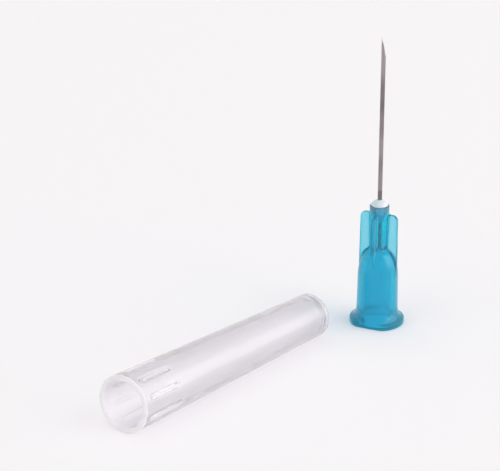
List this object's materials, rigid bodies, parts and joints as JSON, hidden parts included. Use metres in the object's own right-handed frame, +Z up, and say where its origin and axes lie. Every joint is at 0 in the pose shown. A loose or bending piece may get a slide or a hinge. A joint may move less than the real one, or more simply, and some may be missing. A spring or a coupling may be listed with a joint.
{
  "type": "hypodermic needle",
  "caption": "Single-use injection needle with a ground bevel point in a tinted finned lock hub, standing on its base, with its clear tapered cap taken off and lying beside it.",
  "frame": {"origin": "middle of the ground that the standing needle and its lying cap cover, on the table", "axes": "+Z up along the needle towards its point, +X along the cap from its mouth towards the needle, +Y to the side that the cap is offset to"},
  "size_m": [0.0564, 0.0124, 0.0439],
  "materials": {
    "steel": "polished drawn tube with ground facets at the point",
    "tinted_plastic": "translucent teal-blue moulded plastic",
    "set_glue": "set clear glue that reads white",
    "clear_plastic": "clear moulded plastic, slightly milky"
  },
  "bodies": {
    "root": {"cannula": "steel", "hub": "tinted_plastic", "adhesive_bead": "set_glue", "cap": "clear_plastic"}
  },
  "joints": []
}
